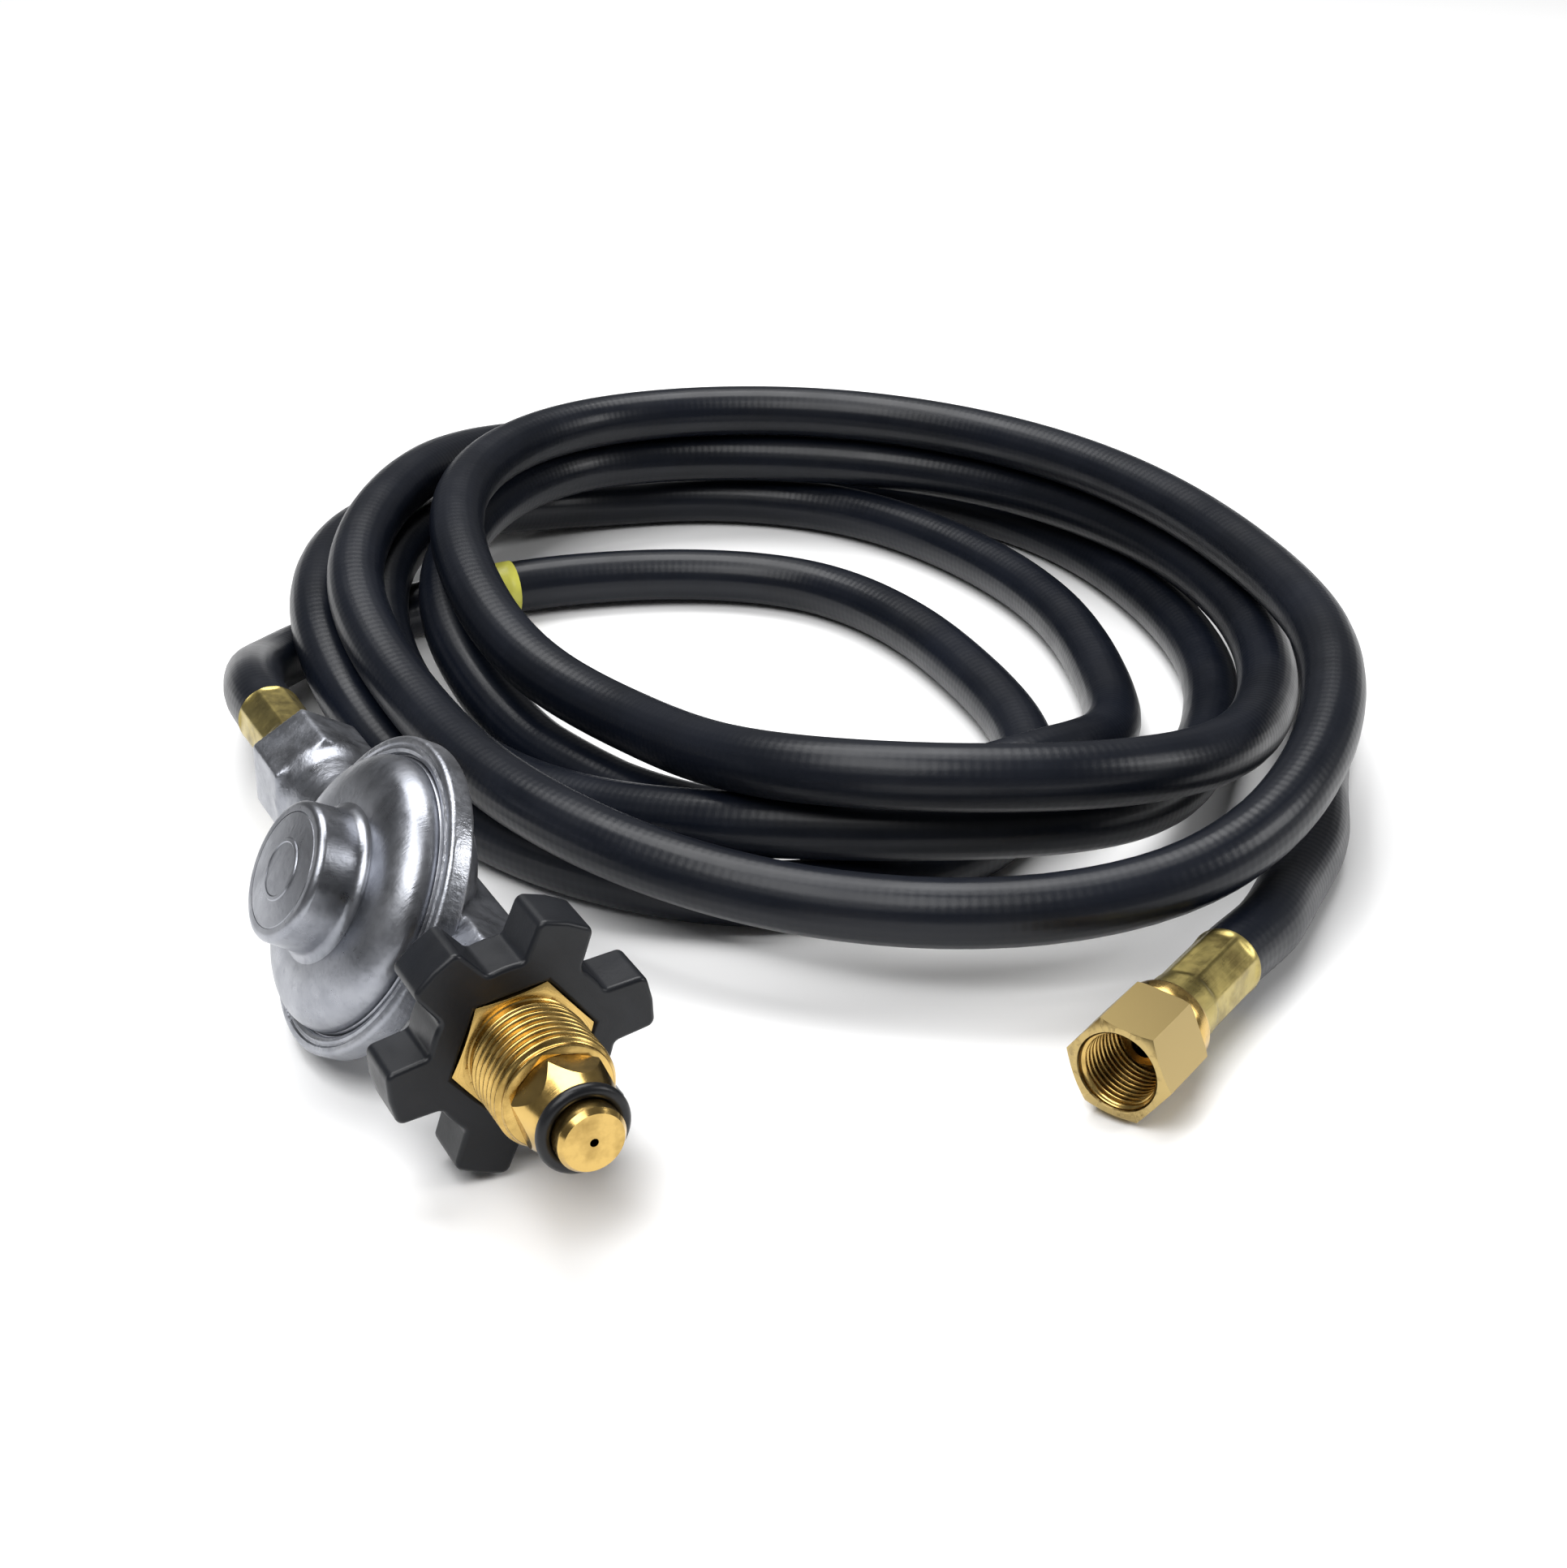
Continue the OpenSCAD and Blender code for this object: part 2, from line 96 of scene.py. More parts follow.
def build(name, verts, faces, place, loc=None, smooth=40):
    """A mesh from local millimetres. Its attribute "loc" keeps the local place, in metres, for materials."""
    mesh = bpy.data.meshes.new(name)
    mesh.from_pydata([tuple(v) for v in verts], [], faces)
    local = np.array(verts if loc is None else loc, float) * MM
    attribute = mesh.attributes.new("loc", "FLOAT_VECTOR", "POINT")
    attribute.data.foreach_set("vector", local.astype(np.float32).ravel())
    mesh.transform(place)
    obj = bpy.data.objects.new(name, mesh)
    bpy.context.scene.collection.objects.link(obj)
    tidy(obj, smooth)
    return obj


def tidy(obj, smooth=40):
    """Joins doubled points, turns the faces outwards and shades by angle."""
    bm = bmesh.new()
    bm.from_mesh(obj.data)
    bmesh.ops.remove_doubles(bm, verts=bm.verts, dist=1e-6)
    bmesh.ops.dissolve_degenerate(bm, edges=bm.edges, dist=1e-7)
    bmesh.ops.recalc_face_normals(bm, faces=bm.faces)
    for f in bm.faces:
        f.smooth = True
    for e in bm.edges:
        if len(e.link_faces) == 2:
            e.smooth = e.calc_face_angle(0) < math.radians(smooth)
    bm.to_mesh(obj.data)
    bm.free()


def lathe(name, profile, place, steps=128, radius=None, smooth=40):
    """A closed ring of (r, z) points turned about local Z. radius(angle, r, z) may reshape it."""
    rows = len(profile)
    verts, faces = [], []
    for i in range(steps):
        a = 2 * math.pi * i / steps
        for r, z in profile:
            q = radius(a, r, z) if radius else r
            verts.append((q * math.cos(a), q * math.sin(a), z))
    for i in range(steps):
        j = (i + 1) % steps
        for k in range(rows):
            m = (k + 1) % rows
            faces.append((i * rows + k, j * rows + k, j * rows + m, i * rows + m))
    return build(name, verts, faces, place, smooth=smooth)


def arc(cx, cz, r, a0, a1, n=6):
    """Points of an arc, angles in degrees."""
    angles = [math.radians(a0 + (a1 - a0) * i / n) for i in range(n + 1)]
    return [(cx + r * math.cos(a), cz + r * math.sin(a)) for a in angles]


def bake(obj):
    """Makes the modifiers' result the mesh itself."""
    mesh = bpy.data.meshes.new_from_object(obj.evaluated_get(bpy.context.evaluated_depsgraph_get()))
    obj.modifiers.clear()
    obj.data = mesh
    return obj


def boolean(obj, other, operation):
    cut = obj.modifiers.new("cut", "BOOLEAN")
    cut.object, cut.operation, cut.solver = other, operation, "EXACT"
    bpy.context.view_layer.update()
    bake(obj)
    bpy.data.objects.remove(other)
    return obj


def bevel(obj, width, segments=2, angle=30):
    mod = obj.modifiers.new("bevel", "BEVEL")
    mod.width, mod.segments, mod.limit_method = width * MM, segments, "ANGLE"
    mod.angle_limit = math.radians(angle)
    mod.harden_normals = True
    return obj


def prism(name, outline, z0, z1, place, smooth=40):
    n = len(outline)
    verts = [(x, y, z0) for x, y in outline] + [(x, y, z1) for x, y in outline]
    faces = [tuple(range(n)), tuple(range(n, 2 * n))]
    faces += [(i, (i + 1) % n, n + (i + 1) % n, n + i) for i in range(n)]
    return build(name, verts, faces, place, smooth=smooth)


def hexagon(af, turn=0):
    r = af / 2 / math.cos(math.radians(30))
    return [(r * math.cos(math.radians(60 * k + turn)), r * math.sin(math.radians(60 * k + turn)))
            for k in range(6)]


def thread(name, crest, root, pitch, length, place, left=False, steps=96, per_turn=12, run_out=1.0):
    """The skin of a helical thread, its rows along the helix. It fades out over run_out at its ends."""
    rows = int(math.ceil(length / pitch)) * per_turn + 2 * per_turn + 1
    hand = -1 if left else 1
    verts, faces = [], []
    for i in range(steps):
        a = 2 * math.pi * i / steps * hand
        for j in range(rows):
            z = pitch * ((j - per_turn) / per_turn + i / steps)
            f = (j % per_turn) / per_turn
            ridge = min(max((1 - abs(2 * f - 1)) * 1.5 - 0.22, 0), 1)
            ridge = ridge * ridge * (3 - 2 * ridge)
            r = root + (crest - root) * ridge
            fade = min(max(min(z, length - z) / run_out, 0), 1)
            end = min(crest, root) if crest > root else max(crest, root)
            r = end + (r - end) * fade
            z = min(max(z, 0), length)
            verts.append((r * math.cos(a), r * math.sin(a), z))
    for i in range(steps):
        last = i == steps - 1
        nxt = 0 if last else (i + 1) * rows
        shift = per_turn if last else 0
        for j in range(rows - 1 - shift):
            faces.append((i * rows + j, nxt + j + shift, nxt + j + 1 + shift, i * rows + j + 1))
    return build(name, verts, faces, place, smooth=60)


# ---- the hose's centreline: a clamped cubic spline through the route's points

def route_points():
    points = [(MID_X, MID_Y + HOSE_END_S, AXIS_H), *LEAD]
    for i, (r, z) in enumerate(TURNS):
        a = math.radians(COIL_TURN - 30 * i)
        points.append((COIL_MID[0] + r * math.cos(a), COIL_MID[1] + r * math.sin(a), z))
    return np.array([*points, *TAIL, FAR_POINT], float)


def spline(p, first, last, per_span=12, step=3.0):
    power = 0.9
    t = np.r_[0, np.cumsum(np.linalg.norm(np.diff(p, axis=0), axis=1) ** power)]
    h, m = np.diff(t), len(p)
    a, b = np.zeros((m, m)), np.zeros((m, 3))
    a[0, 0] = a[-1, -1] = 1
    b[0], b[-1] = np.array(first) * h[0] ** (1 / power - 1), np.array(last) * h[-1] ** (1 / power - 1)
    for i in range(1, m - 1):
        a[i, i - 1], a[i, i], a[i, i + 1] = 1 / h[i - 1], 2 / h[i - 1] + 2 / h[i], 1 / h[i]
        b[i] = 3 * ((p[i] - p[i - 1]) / h[i - 1] ** 2 + (p[i + 1] - p[i]) / h[i] ** 2)
    k = np.linalg.solve(a, b)
    out = []
    for i in range(m - 1):
        for x in np.arange(per_span) / per_span:
            out.append((2 * x ** 3 - 3 * x ** 2 + 1) * p[i] + (x ** 3 - 2 * x ** 2 + x) * h[i] * k[i]
                       + (3 * x ** 2 - 2 * x ** 3) * p[i + 1] + (x ** 3 - x ** 2) * h[i] * k[i + 1])
    out = np.array([*out, p[-1]])
    s = np.r_[0, np.cumsum(np.linalg.norm(np.diff(out, axis=0), axis=1))]
    u = np.linspace(0, s[-1], int(s[-1] / step) + 1)
    path = np.stack([np.interp(u, s, out[:, c]) for c in range(3)], 1)
    path[:, 2] = np.maximum(path[:, 2], HOSE_R)
    return path, u


def tube(name, path, u, radius, sides=24, cap=True):
    """A tube along a path, without twist. Its "loc" is the place on the straightened tube."""
    way = np.gradient(path, axis=0)
    way /= np.linalg.norm(way, axis=1)[:, None]
    side = np.cross(way[0], (0, 0, 1))
    verts, loc, faces = [], [], []
    for i, p in enumerate(path):
        side = side - way[i] * side.dot(way[i])
        side /= np.linalg.norm(side)
        up = np.cross(side, way[i])
        r = radius(u[i]) if callable(radius) else radius
        for k in range(sides):
            a = 2 * math.pi * k / sides
            verts.append(p + r * (math.cos(a) * side + math.sin(a) * up))
            loc.append((r * math.cos(a), r * math.sin(a), u[i]))
    for i in range(len(path) - 1):
        for k in range(sides):
            n = (k + 1) % sides
            faces.append((i * sides + k, i * sides + n, (i + 1) * sides + n, (i + 1) * sides + k))
    if cap:
        faces.append(tuple(range(sides)))
        faces.append(tuple(range((len(path) - 1) * sides, len(path) * sides)))
    return build(name, verts, faces, Matrix.Scale(MM, 4), loc=loc, smooth=60)


# ---- materials

class Mat:
    """A procedural material, with short calls for its nodes."""

    def __init__(self, name, local=False, **values):
        self.mat = bpy.data.materials.new(name)
        self.mat.use_nodes = True
        self.tree = self.mat.node_tree
        self.shader = self.tree.nodes["Principled BSDF"]
        if local:
            source = self.node("ShaderNodeAttribute")
            source.attribute_name = "loc"
            self.place = source.outputs["Vector"]
        else:
            self.place = self.node("ShaderNodeTexCoord").outputs["Object"]
        for key, value in values.items():
            self.shader.inputs[key.replace("_", " ")].default_value = value
        self.normal = None

    def node(self, kind):
        return self.tree.nodes.new(kind)

    def link(self, a, b):
        self.tree.links.new(a, b)

    def stretched(self, scale, turn=(0, 0, 0)):
        m = self.node("ShaderNodeMapping")
        m.inputs["Scale"].default_value = scale
        m.inputs["Rotation"].default_value = [math.radians(t) for t in turn]
        self.link(self.place, m.inputs["Vector"])
        return m.outputs["Vector"]

    def noise(self, scale, detail=3, rough=0.55, place=None):
        n = self.node("ShaderNodeTexNoise")
        n.inputs["Scale"].default_value = scale
        n.inputs["Detail"].default_value = detail
        n.inputs["Roughness"].default_value = rough
        self.link(place or self.place, n.inputs["Vector"])
        return n.outputs["Fac"]

    def ramp(self, value, *stops):
        r = self.node("ShaderNodeValToRGB")
        r.color_ramp.elements[0].position, r.color_ramp.elements[0].color = stops[0][0], (*stops[0][1], 1)
        r.color_ramp.elements[1].position, r.color_ramp.elements[1].color = stops[-1][0], (*stops[-1][1], 1)
        for at, colour in stops[1:-1]:
            e = r.color_ramp.elements.new(at)
            e.color = (*colour, 1)
        self.link(value, r.inputs["Fac"])
        return r.outputs["Color"]

    def range(self, value, lo, hi, to_lo, to_hi):
        r = self.node("ShaderNodeMapRange")
        for key, v in zip(("From Min", "From Max", "To Min", "To Max"), (lo, hi, to_lo, to_hi)):
            r.inputs[key].default_value = v
        self.link(value, r.inputs["Value"])
        return r.outputs["Result"]

    def math(self, operation, a, b=None):
        m = self.node("ShaderNodeMath")
        m.operation = operation
        for i, v in enumerate((a, b)):
            if isinstance(v, (int, float)):
                m.inputs[i].default_value = v
            elif v is not None:
                self.link(v, m.inputs[i])
        return m.outputs[0]

    def mix(self, fac, a, b, blend="MIX"):
        m = self.node("ShaderNodeMix")
        m.data_type, m.blend_type = "RGBA", blend
        sockets = [s for s in m.inputs if s.type == "RGBA"]
        for socket, v in zip(sockets, (a, b)):
            if isinstance(v, tuple):
                socket.default_value = (*v, 1)
            else:
                self.link(v, socket)
        if isinstance(fac, (int, float)):
            m.inputs[0].default_value = fac
        else:
            self.link(fac, m.inputs[0])
        return [s for s in m.outputs if s.type == "RGBA"][0]

    def bump(self, height, strength, distance):
        b = self.node("ShaderNodeBump")
        b.inputs["Strength"].default_value = strength
        b.inputs["Distance"].default_value = distance
        self.link(height, b.inputs["Height"])
        if self.normal:
            self.link(self.normal, b.inputs["Normal"])
        self.normal = b.outputs["Normal"]
        self.link(self.normal, self.shader.inputs["Normal"])

    def colour(self, value):
        self.link(value, self.shader.inputs["Base Color"])

    def rough(self, value):
        self.link(value, self.shader.inputs["Roughness"])


def zinc_material(name, local, smear=1.0, pits=0.0):
    m = Mat(name, local, Metallic=1.0)
    cloud = m.noise(55, 4, 0.6)
    fine = m.noise(420, 3, 0.6)
    base = m.ramp(cloud, (0.3, (0.20, 0.21, 0.235)), (0.5, (0.29, 0.30, 0.33)), (0.72, (0.38, 0.39, 0.42)))
    m.colour(m.mix(m.range(fine, 0.55, 0.75, 0, 0.35), base, (0.14, 0.145, 0.165)))
    m.rough(m.range(m.noise(130, 5, 0.65), 0.3, 0.7, 0.24, 0.24 + 0.2 * smear))
    scratches = m.noise(260, 2, 0.5, m.stretched((1, 14, 2), (20, 35, 50)))
    m.bump(scratches, 0.10, 0.0003)
    m.bump(m.noise(900, 2, 0.5), 0.14, 0.0002)
    if pits:
        m.bump(m.range(m.noise(300, 4, 0.7), 0.35, 0.6, 0, 1), pits, 0.0005)
    return m.mat


def brass_material(name, local, light=(0.56, 0.38, 0.125), dark=(0.30, 0.195, 0.058), lines=(0, 0, 1),
                   rough=(0.16, 0.34), grain=0.18):
    """lines is the way that the machining marks repeat along, in local axes."""
    m = Mat(name, local, Metallic=1.0)
    cloud = m.noise(140, 4, 0.6)
    m.colour(m.ramp(cloud, (0.32, dark), (0.55, light), (0.8, tuple(min(1, c * 1.1) for c in light))))
    m.rough(m.range(m.noise(220, 4, 0.65), 0.3, 0.7, *rough))
    marks = m.noise(1.0, 2, 0.6, m.stretched(tuple(4500 * c + 60 * (1 - c) for c in lines)))
    m.bump(marks, grain, 0.00012)
    m.bump(m.noise(1200, 2, 0.5), 0.06, 0.0001)
    return m.mat


WEAVE_PITCH, WEAVE_STRANDS = 0.0040, 12    # the braid that shows through the hose's skin


def hose_material():
    m = Mat("hose_rubber", True)
    m.shader.inputs["Specular IOR Level"].default_value = 0.26
    m.shader.inputs["Coat Weight"].default_value = 0.06
    m.shader.inputs["Coat Roughness"].default_value = 0.3
    patches = m.noise(28, 3, 0.5)
    dust = m.noise(160, 4, 0.6)
    base = m.ramp(patches, (0.35, (0.0022, 0.0034, 0.0068)), (0.7, (0.0042, 0.006, 0.0115)))
    m.colour(m.mix(m.range(dust, 0.55, 0.8, 0, 0.2), base, (0.016, 0.018, 0.026)))
    m.rough(m.range(m.noise(60, 4, 0.6), 0.3, 0.7, 0.30, 0.42))
    parts = m.node("ShaderNodeSeparateXYZ")
    m.link(m.place, parts.inputs[0])
    turn = m.math("ARCTAN2", parts.outputs[1], parts.outputs[0])
    along = m.math("MULTIPLY", parts.outputs[2], 2 * math.pi / WEAVE_PITCH)
    around = m.math("MULTIPLY", turn, WEAVE_STRANDS)
    one = m.math("SINE", m.math("ADD", along, around))
    two = m.math("SINE", m.math("SUBTRACT", along, around))
    weave = m.math("MULTIPLY", one, two)
    m.bump(weave, 0.13, 0.00014)
    m.bump(m.noise(1100, 3, 0.6), 0.12, 0.00018)
    return m.mat


def plastic_material(name, local, colour=(0.0062, 0.0072, 0.0098), rough=(0.32, 0.44)):
    m = Mat(name, local)
    m.shader.inputs["Specular IOR Level"].default_value = 0.3
    dark, light = tuple(c * 0.8 for c in colour), tuple(c * 1.35 for c in colour)
    m.colour(m.ramp(m.noise(90, 3, 0.5), (0.3, dark), (0.75, light)))
    m.rough(m.range(m.noise(150, 4, 0.6), 0.3, 0.7, *rough))
    m.bump(m.noise(1400, 3, 0.6), 0.16, 0.00015)
    m.bump(m.noise(120, 2, 0.5), 0.04, 0.0004)
    return m.mat


def steel_material():
    m = Mat("plated_steel", False, Metallic=1.0)
    m.colour(m.ramp(m.noise(200, 3, 0.6), (0.3, (0.42, 0.43, 0.44)), (0.7, (0.62, 0.63, 0.65))))
    m.rough(m.range(m.noise(300, 3, 0.6), 0.3, 0.7, 0.25, 0.42))
    m.bump(m.noise(900, 2, 0.5), 0.1, 0.0001)
    return m.mat


ZINC = zinc_material("zinc_cover", True)
ZINC_CAST = zinc_material("zinc_casting", True, smear=1.2, pits=0.12)
BRASS_TURNED = brass_material("brass_turned", True)
BRASS_HEX = brass_material("brass_hex", True, light=(0.48, 0.36, 0.15), dark=(0.27, 0.195, 0.08),
                           lines=(1, 1, 0), rough=(0.24, 0.42), grain=0.35)
BRASS_CAD = brass_material("brass_nose", False, lines=(0, 1, 0), rough=(0.14, 0.28), grain=0.1)
BRASS_CRIMPED = brass_material("brass_crimped", True, light=(0.42, 0.34, 0.12), dark=(0.20, 0.155, 0.055),
                               lines=(1, 1, 0), rough=(0.26, 0.44), grain=0.25)
RUBBER = hose_material()
SEAL = plastic_material("nitrile", False, (0.006, 0.0065, 0.008), (0.28, 0.4))
PLASTIC = plastic_material("black_plastic", True)
YELLOW = plastic_material("yellow_tag", True, (0.62, 0.60, 0.10), (0.3, 0.45))
STEEL = steel_material()


def finish_piece(obj, material, body, slot, *nodes):
    obj.data.materials.clear()
    obj.data.materials.append(material)
    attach(obj, body)
    if nodes:
        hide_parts(*nodes)
    return obj


def cad_material(node, material):
    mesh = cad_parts[node].data
    mesh.materials.clear()
    mesh.materials.append(material)


# ---- camera

camera = bpy.data.objects.new("camera", bpy.data.cameras.new("camera"))
bpy.context.scene.collection.objects.link(camera)
bpy.context.scene.camera = camera
camera.data.lens = 55.93
camera.data.sensor_width = 36
camera.location = (-0.1212, -0.4088, 0.261)
AZIMUTH, ELEVATION = math.radians(-27), math.radians(26.6)
BACK = Vector((math.sin(AZIMUTH) * math.cos(ELEVATION), -math.cos(AZIMUTH) * math.cos(ELEVATION),
               math.sin(ELEVATION)))
camera.rotation_mode = "QUATERNION"
camera.rotation_quaternion = (-BACK).to_track_quat("-Z", "Y")
camera.data.clip_start, camera.data.clip_end = 0.01, 20

# ---- the hose and what is on it

FAR_WAY = (math.cos(math.radians(FAR_HEADING)), math.sin(math.radians(FAR_HEADING)), 0)
PATH, ALONG = spline(route_points(), (0, 1, 0), FAR_WAY)
hose = finish_piece(tube("hose_rubber", PATH, ALONG, HOSE_R), RUBBER, "root", "hose_rubber", "hose")

# The yellow band lies on the stretch that the tag node holds
tag_lo, tag_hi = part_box("hose_tag")
near = [i for i, p in enumerate(PATH) if tag_lo.x / MM - 0.5 < p[0] < tag_hi.x / MM + 0.5
        and p[1] > 150 and p[2] < 9 and i < 120]
TAG_PATH = PATH[near[0]:near[-1] + 1]
tag = tube("yellow_band", TAG_PATH, ALONG[near[0]:near[-1] + 1], HOSE_R + 0.4, cap=False)
thick = tag.modifiers.new("thick", "SOLIDIFY")
thick.thickness, thick.offset = 0.35 * MM, -1
finish_piece(tag, YELLOW, "root", "yellow_tag", "hose_tag")

CRIMPS = 8


def crimped(name, place, flip=False):
    """A ferrule pressed flat on eight sides over most of its length."""
    first, last = (0.8, 20.0) if flip else (7.0, 26.2)
    inner = 6.75
    flat = FERRULE_R * math.cos(math.pi / CRIMPS) * 1.015
    step = 2 * math.pi / CRIMPS
    edge = 1.6

    def shape(a, r, z):
        if r < (inner + FERRULE_R) / 2:
            return r
        b = (a + 0.3) % step - step / 2
        squeezed = min(r, flat / math.cos(b))
        near_ends = min(max((z - first) / edge, 0), 1) * min(max((last - z) / 0.6 + 0.5, 0), 1)
        near_ends = near_ends * near_ends * (3 - 2 * near_ends)
        return r + (squeezed - r) * near_ends

    heights = list(np.linspace(0.4, FERRULE_L - 0.4, 49))
    profile = [(inner, 0), (FERRULE_R - 0.4, 0)] + [(FERRULE_R, z) for z in heights]
    profile += [(FERRULE_R - 0.35, FERRULE_L), (inner, FERRULE_L)]
    return lathe(name, profile, place, steps=160, radius=shape, smooth=35)


finish_piece(crimped("ferrule_at_regulator", at_axis(OUTLET_L)), BRASS_CRIMPED, "root",
             "crimped_brass", "regulator_ferrule")
far_ferrule = finish_piece(crimped("ferrule_far", at_far(0), flip=True), BRASS_CRIMPED, "root",
                           "crimped_brass", "far_ferrule")

# Flare nut: collar, chamfered hexagon and internal thread
FLARE_START, FLARE_L, COLLAR_L, FLARE_AF, FLARE_TURN = 27.3, 21, 4.5, 19.05, 24
FLARE_HOLE_R, FLARE_WALL, NECK_R = 7.2, 3.6, 5.65
place = at_far(FLARE_START)
hexes = prism("flare_nut_hexagon", hexagon(FLARE_AF, FLARE_TURN), COLLAR_L, FLARE_L, place)
corner = FLARE_AF / 2 / math.cos(math.radians(30))
turned = lathe("turned", [(NECK_R, COLLAR_L - 1), (corner - 1.2, COLLAR_L - 1), (corner - 0.75, COLLAR_L),
                          (corner + 0.3, COLLAR_L + 0.6), (corner + 0.3, FLARE_L - 0.9),
                          (corner - 1.45, FLARE_L), (FLARE_HOLE_R + 1.1, FLARE_L),
                          (FLARE_HOLE_R + 0.7, FLARE_L - 1.0), (FLARE_HOLE_R + 0.75, FLARE_WALL),
                          (NECK_R, FLARE_WALL)], place)
flare_hex = boolean(hexes, turned, "INTERSECT")
flare_hex = finish_piece(bevel(flare_hex, 0.12, 2, 30), BRASS_HEX, "swivel_nut", "brass", "flare_nut")
collar = lathe("flare_nut_collar", [(NECK_R, 0), (8.6, 0), *arc(8.6, 0.7, 0.7, -90, 0), (9.32, 2.2),
                                    (9.3, COLLAR_L - 0.5), (9.05, COLLAR_L + 0.05),
                                    (NECK_R, COLLAR_L + 0.05)], place)
finish_piece(collar, BRASS_TURNED, "swivel_nut", "brass")
inner_thread = thread("flare_nut_thread", FLARE_HOLE_R - 0.02, FLARE_HOLE_R + 0.8, INCH / 18,
                      FLARE_L - FLARE_WALL - 0.3, at_far(FLARE_START + FLARE_WALL), run_out=1.2)
finish_piece(inner_thread, BRASS_TURNED, "swivel_nut", "brass")

# ---- cylinder connection

NUT_BACK, WHEEL_BACK, WHEEL_T, NUT_FACE, POL_L = -45, -44.5, 12, -57, 16
NUT_FRONT = NUT_FACE - POL_L
POL_R, POL_AF, WHEEL_TURN = 11.25, 23.8, -8
NIPPLE_GAP_R = 5.05
HEX_L = NUT_BACK - NUT_FACE
nut = prism("inlet_nut_hexagon", hexagon(POL_AF, WHEEL_TURN), 0, HEX_L, at_axis(NUT_FACE))
hex_corner = POL_AF / 2 / math.cos(math.radians(30))
turned = lathe("turned", [(NIPPLE_GAP_R, 0), (POL_AF / 2 - 0.4, 0), (hex_corner + 0.2, 1.0),
                          (hex_corner + 0.2, HEX_L - 0.4), (hex_corner - 0.6, HEX_L),
                          (NIPPLE_GAP_R, HEX_L)], at_axis(NUT_FACE))
nut = bevel(boolean(nut, turned, "INTERSECT"), 0.12, 2, 30)
finish_piece(nut, BRASS_TURNED, "hand_nut", "brass", "pol_nut")
pol_thread = thread("inlet_nut_thread", POL_R, POL_R - 0.95, INCH / 14, POL_L - 1.2,
                    at_axis(NUT_FRONT + 0.2), left=True, run_out=1.4)
finish_piece(pol_thread, BRASS_TURNED, "hand_nut", "brass")
nut_end = lathe("inlet_nut_end", [(NIPPLE_GAP_R, 0), (POL_R - 1.3, 0), (POL_R - 0.95, 0.25),
                                  (POL_R - 0.96, 1.5), (NIPPLE_GAP_R, 1.5)], at_axis(NUT_FRONT))
finish_piece(nut_end, BRASS_TURNED, "hand_nut", "brass")
nut_neck = lathe("inlet_nut_neck", [(NIPPLE_GAP_R, 0), (POL_R - 0.75, 0), (POL_R - 0.7, 1.2),
                                    (POL_R - 0.2, 1.6), (NIPPLE_GAP_R, 1.6)], at_axis(NUT_FACE - 1.4))
finish_piece(nut_neck, BRASS_TURNED, "hand_nut", "brass")

# Handwheel: hub and six lobes, with softened edges
LOBES, LOBE_W, WHEEL_R, HUB_R, ROUND = 6, 11.5, 25.5, 17.8, 1.7


def wheel_outline():
    points = []
    half = LOBE_W / 2
    for k in range(LOBES):
        turn = math.radians(360 * k / LOBES + WHEEL_TURN)

        def add(x, y):
            points.append((x * math.cos(turn) - y * math.sin(turn),
                           x * math.sin(turn) + y * math.cos(turn)))

        # a fillet from the hub to the lobe's side, then the lobe's two rounded corners
        fr = 1.5
        root_x = math.sqrt((HUB_R + fr) ** 2 - (half + fr) ** 2)
        toward_hub = math.degrees(math.atan2(half + fr, root_x))
        for x, y in arc(root_x, -half - fr, fr, 180 - toward_hub, 90, 5):
            add(x, y)
        for x, y in arc(WHEEL_R - 0.35 - ROUND, -half + 0.25 + ROUND, ROUND, -90, -8, 6):
            add(x, y)
        add(WHEEL_R, 0)
        for x, y in arc(WHEEL_R - 0.35 - ROUND, half - 0.25 - ROUND, ROUND, 8, 90, 6):
            add(x, y)
        for x, y in arc(root_x, half + fr, fr, -90, -180 + toward_hub, 5):
            add(x, y)
        gap0, gap1 = toward_hub, 360 / LOBES - toward_hub
        for i in range(1, 8):
            a = math.radians(gap0 + (gap1 - gap0) * i / 8)
            add(HUB_R * math.cos(a), HUB_R * math.sin(a))
    return points


wheel = prism("handwheel_body", wheel_outline(), 0, WHEEL_T, at_axis(WHEEL_BACK - WHEEL_T))
hole = prism("hole", hexagon(POL_AF + 0.02, WHEEL_TURN), -1, WHEEL_T + 1, at_axis(WHEEL_BACK - WHEEL_T))
wheel = bevel(boolean(wheel, hole, "DIFFERENCE"), 0.95, 4, 50)
finish_piece(wheel, PLASTIC, "hand_nut", "black_plastic", "handwheel")

# ---- regulator

SEAT_Z, FLANGE_Z, LIP_Z, LIP_TOP, DOME_Z, TOWER_Z = 9.5, 10.3, 12, 13, 20.5, 30
RIM_R, SEAT_R, DOME_R, TOWER_R, BORE_R = 32, 29.8, 28, 14, 12
WALL = 2
AXIS = 0.001      # radius of a profile's points on the axis, which keeps the lathe's faces whole
crown = []
for i in range(25):
    a = math.radians(90 * (1 - i / 24))
    crown.append((TOWER_R + 1.9 + (DOME_R - 0.4 - TOWER_R - 1.9) * math.cos(a) ** 0.92,
                  LIP_Z + 1.2 + (DOME_Z - LIP_Z - 1.2) * math.sin(a) ** 0.85))
inside = [(r - WALL * 0.8, z - WALL * 0.9) for r, z in reversed(crown)
          if r > BORE_R + 2.5 and z > LIP_Z + 2]
